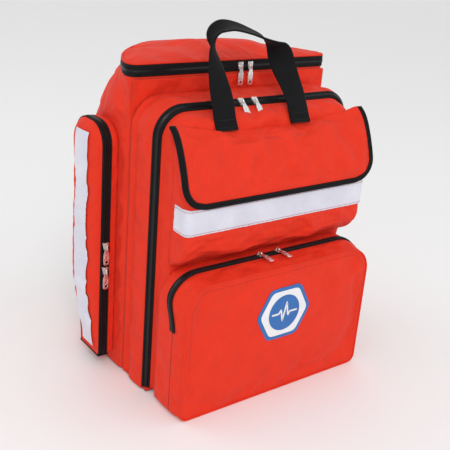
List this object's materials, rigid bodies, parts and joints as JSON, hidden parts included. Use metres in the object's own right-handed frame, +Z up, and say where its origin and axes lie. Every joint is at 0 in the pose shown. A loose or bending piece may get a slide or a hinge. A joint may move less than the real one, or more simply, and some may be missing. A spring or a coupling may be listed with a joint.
{
  "type": "trauma backpack",
  "caption": "Tall box-shaped emergency backpack with a hinged lid, zipped front compartment, flapped and zipped front pockets, side pockets and a webbing carry handle.",
  "frame": {"origin": "middle of the base, on the ground", "axes": "+Z up; -Y out of the front of the bag, away from the wearer; +X to the right of someone facing the front"},
  "size_m": [0.4348, 0.3664, 0.5414],
  "materials": {
    "orange_fabric": "woven nylon, matt",
    "lining": "woven nylon, matt",
    "black_webbing": "woven webbing, matt",
    "zip_tape": "woven zip tape with moulded teeth",
    "reflective_tape": "reflective glass-bead tape",
    "nickel": "nickel plated",
    "padding": "mesh over foam",
    "buckle_plastic": "matt",
    "stiffener": "matt",
    "patch": "embroidered"
  },
  "bodies": {
    "pack": {"base_panel": "orange_fabric", "rear_panel": "orange_fabric", "side_panel_left": "orange_fabric", "side_panel_right": "orange_fabric", "compartment_divider": "lining", "frame_sheet": "stiffener", "front_gusset": "orange_fabric", "front_zip_rear_tape": "zip_tape", "lid_zip_lower_tape": "zip_tape", "back_pad": "padding", "shoulder_strap_left": "padding", "shoulder_strap_right": "padding", "strap_webbing_left": "black_webbing", "strap_webbing_right": "black_webbing", "ladder_lock_left": "buckle_plastic", "ladder_lock_right": "buckle_plastic", "side_pocket_gusset_left": "orange_fabric", "side_pocket_gusset_right": "orange_fabric", "side_zip_inner_tape_left": "zip_tape", "side_zip_inner_tape_right": "zip_tape"},
    "lid": {"top_lid": "orange_fabric", "lid_zip_upper_tape": "zip_tape"},
    "front_panel": {"front_panel": "orange_fabric", "front_zip_front_tape": "zip_tape", "upper_pocket": "orange_fabric", "front_reflective_band": "reflective_tape", "lower_pocket_gusset": "orange_fabric", "lower_zip_rear_tape": "zip_tape", "lower_pocket_base": "orange_fabric"},
    "flap": {"pocket_flap": "orange_fabric"},
    "lower_pocket": {"lower_pocket_front": "orange_fabric", "lower_zip_front_tape": "zip_tape", "badge": "patch"},
    "side_cover_left": {"side_pocket_cover_left": "orange_fabric", "side_zip_outer_tape_left": "zip_tape", "side_reflective_band_left": "reflective_tape"},
    "side_cover_right": {"side_pocket_cover_right": "orange_fabric", "side_zip_outer_tape_right": "zip_tape", "side_reflective_band_right": "reflective_tape"},
    "handle": {"carry_handle": "black_webbing"},
    "lid_zip_a_slider": {"lid_zip_a_slider": "nickel"},
    "lid_zip_a_pull": {"lid_zip_a_pull": "nickel"},
    "lid_zip_b_slider": {"lid_zip_b_slider": "nickel"},
    "lid_zip_b_pull": {"lid_zip_b_pull": "nickel"},
    "front_zip_a_slider": {"front_zip_a_slider": "nickel"},
    "front_zip_a_pull": {"front_zip_a_pull": "nickel"},
    "front_zip_b_slider": {"front_zip_b_slider": "nickel"},
    "front_zip_b_pull": {"front_zip_b_pull": "nickel"},
    "lower_zip_a_slider": {"lower_zip_a_slider": "nickel"},
    "lower_zip_a_pull": {"lower_zip_a_pull": "nickel"},
    "lower_zip_b_slider": {"lower_zip_b_slider": "nickel"},
    "lower_zip_b_pull": {"lower_zip_b_pull": "nickel"},
    "side_zip_upper_left_slider": {"side_zip_upper_left_slider": "nickel"},
    "side_zip_upper_left_pull": {"side_zip_upper_left_pull": "nickel"},
    "side_zip_lower_left_slider": {"side_zip_lower_left_slider": "nickel"},
    "side_zip_lower_left_pull": {"side_zip_lower_left_pull": "nickel"},
    "side_zip_upper_right_slider": {"side_zip_upper_right_slider": "nickel"},
    "side_zip_upper_right_pull": {"side_zip_upper_right_pull": "nickel"},
    "side_zip_lower_right_slider": {"side_zip_lower_right_slider": "nickel"},
    "side_zip_lower_right_pull": {"side_zip_lower_right_pull": "nickel"}
  },
  "joints": [
    {"name": "lid_hinge", "type": "hinge", "parent": "pack", "child": "lid", "pos_m": [0, 0.1352, 0.4718], "axis": [-1, 0, 0], "range_deg": [0, 100]},
    {"name": "front_panel_hinge", "type": "hinge", "parent": "pack", "child": "front_panel", "pos_m": [0, -0.084, 0.003], "axis": [1, 0, 0], "range_deg": [0, 100]},
    {"name": "flap_hinge", "type": "hinge", "parent": "front_panel", "child": "flap", "pos_m": [0, -0.111, 0.4155], "axis": [-1, 0, 0], "range_deg": [0, 120]},
    {"name": "lower_pocket_hinge", "type": "hinge", "parent": "front_panel", "child": "lower_pocket", "pos_m": [0, -0.1742, 0.0922], "axis": [1, 0, 0], "range_deg": [0, 80]},
    {"name": "side_cover_left_hinge", "type": "hinge", "parent": "pack", "child": "side_cover_left", "pos_m": [-0.1962, 0.056, 0.0198], "axis": [0, -1, 0], "range_deg": [0, 80]},
    {"name": "side_cover_right_hinge", "type": "hinge", "parent": "pack", "child": "side_cover_right", "pos_m": [0.1962, 0.056, 0.0198], "axis": [0, 1, 0], "range_deg": [0, 80]},
    {"name": "handle_fold", "type": "hinge", "parent": "front_panel", "child": "handle", "pos_m": [0, -0.104, 0.419], "axis": [-1, 0, 0], "range_deg": [-85, 5]},
    {"name": "lid_zip_a_slide", "type": "slide", "parent": "lid", "child": "lid_zip_a_slider", "axis": [1, 0, 0], "range_m": [-0.15, 0]},
    {"name": "lid_zip_a_pull_hinge", "type": "hinge", "parent": "lid_zip_a_slider", "child": "lid_zip_a_pull", "pos_m": [0.006, -0.0189, 0.472], "axis": [-1, 0, 0], "range_deg": [0, 150]},
    {"name": "lid_zip_b_slide", "type": "slide", "parent": "lid", "child": "lid_zip_b_slider", "axis": [1, 0, 0], "range_m": [0, 0.13]},
    {"name": "lid_zip_b_pull_hinge", "type": "hinge", "parent": "lid_zip_b_slider", "child": "lid_zip_b_pull", "pos_m": [0.024, -0.0189, 0.472], "axis": [-1, 0, 0], "range_deg": [0, 150]},
    {"name": "front_zip_a_slide", "type": "slide", "parent": "front_panel", "child": "front_zip_a_slider", "axis": [1, 0, 0], "range_m": [-0.08, 0]},
    {"name": "front_zip_a_pull_hinge", "type": "hinge", "parent": "front_zip_a_slider", "child": "front_zip_a_pull", "pos_m": [-0.036, -0.08181, 0.43761], "axis": [-1, 0, 0], "range_deg": [0, 150]},
    {"name": "front_zip_b_slide", "type": "slide", "parent": "front_panel", "child": "front_zip_b_slider", "axis": [1, 0, 0], "range_m": [0, 0.11]},
    {"name": "front_zip_b_pull_hinge", "type": "hinge", "parent": "front_zip_b_slider", "child": "front_zip_b_pull", "pos_m": [-0.012, -0.08181, 0.43761], "axis": [-1, 0, 0], "range_deg": [0, 150]},
    {"name": "lower_zip_a_slide", "type": "slide", "parent": "lower_pocket", "child": "lower_zip_a_slider", "axis": [1, 0, 0], "range_m": [-0.1, 0]},
    {"name": "lower_zip_a_pull_hinge", "type": "hinge", "parent": "lower_zip_a_slider", "child": "lower_zip_a_pull", "pos_m": [-0.021, -0.136, 0.22], "axis": [-1, 0, 0], "range_deg": [0, 50]},
    {"name": "lower_zip_b_slide", "type": "slide", "parent": "lower_pocket", "child": "lower_zip_b_slider", "axis": [1, 0, 0], "range_m": [0, 0.1]},
    {"name": "lower_zip_b_pull_hinge", "type": "hinge", "parent": "lower_zip_b_slider", "child": "lower_zip_b_pull", "pos_m": [0.013, -0.136, 0.22], "axis": [-1, 0, 0], "range_deg": [0, 50]},
    {"name": "side_zip_upper_left_slide", "type": "slide", "parent": "side_cover_left", "child": "side_zip_upper_left_slider", "axis": [0, 0, 1], "range_m": [0, 0.14]},
    {"name": "side_zip_upper_left_pull_hinge", "type": "hinge", "parent": "side_zip_upper_left_slider", "child": "side_zip_upper_left_pull", "pos_m": [-0.1962, 0.0091, 0.206], "axis": [-1, 0, 0], "range_deg": [0, 150]},
    {"name": "side_zip_lower_left_slide", "type": "slide", "parent": "side_cover_left", "child": "side_zip_lower_left_slider", "axis": [0, 0, 1], "range_m": [-0.12, 0]},
    {"name": "side_zip_lower_left_pull_hinge", "type": "hinge", "parent": "side_zip_lower_left_slider", "child": "side_zip_lower_left_pull", "pos_m": [-0.1962, 0.0091, 0.166], "axis": [-1, 0, 0], "range_deg": [0, 150]},
    {"name": "side_zip_upper_right_slide", "type": "slide", "parent": "side_cover_right", "child": "side_zip_upper_right_slider", "axis": [0, 0, 1], "range_m": [0, 0.14]},
    {"name": "side_zip_upper_right_pull_hinge", "type": "hinge", "parent": "side_zip_upper_right_slider", "child": "side_zip_upper_right_pull", "pos_m": [0.1962, 0.0091, 0.206], "axis": [-1, 0, 0], "range_deg": [0, 150]},
    {"name": "side_zip_lower_right_slide", "type": "slide", "parent": "side_cover_right", "child": "side_zip_lower_right_slider", "axis": [0, 0, 1], "range_m": [-0.12, 0]},
    {"name": "side_zip_lower_right_pull_hinge", "type": "hinge", "parent": "side_zip_lower_right_slider", "child": "side_zip_lower_right_pull", "pos_m": [0.1962, 0.0091, 0.166], "axis": [-1, 0, 0], "range_deg": [0, 150]}
  ]
}
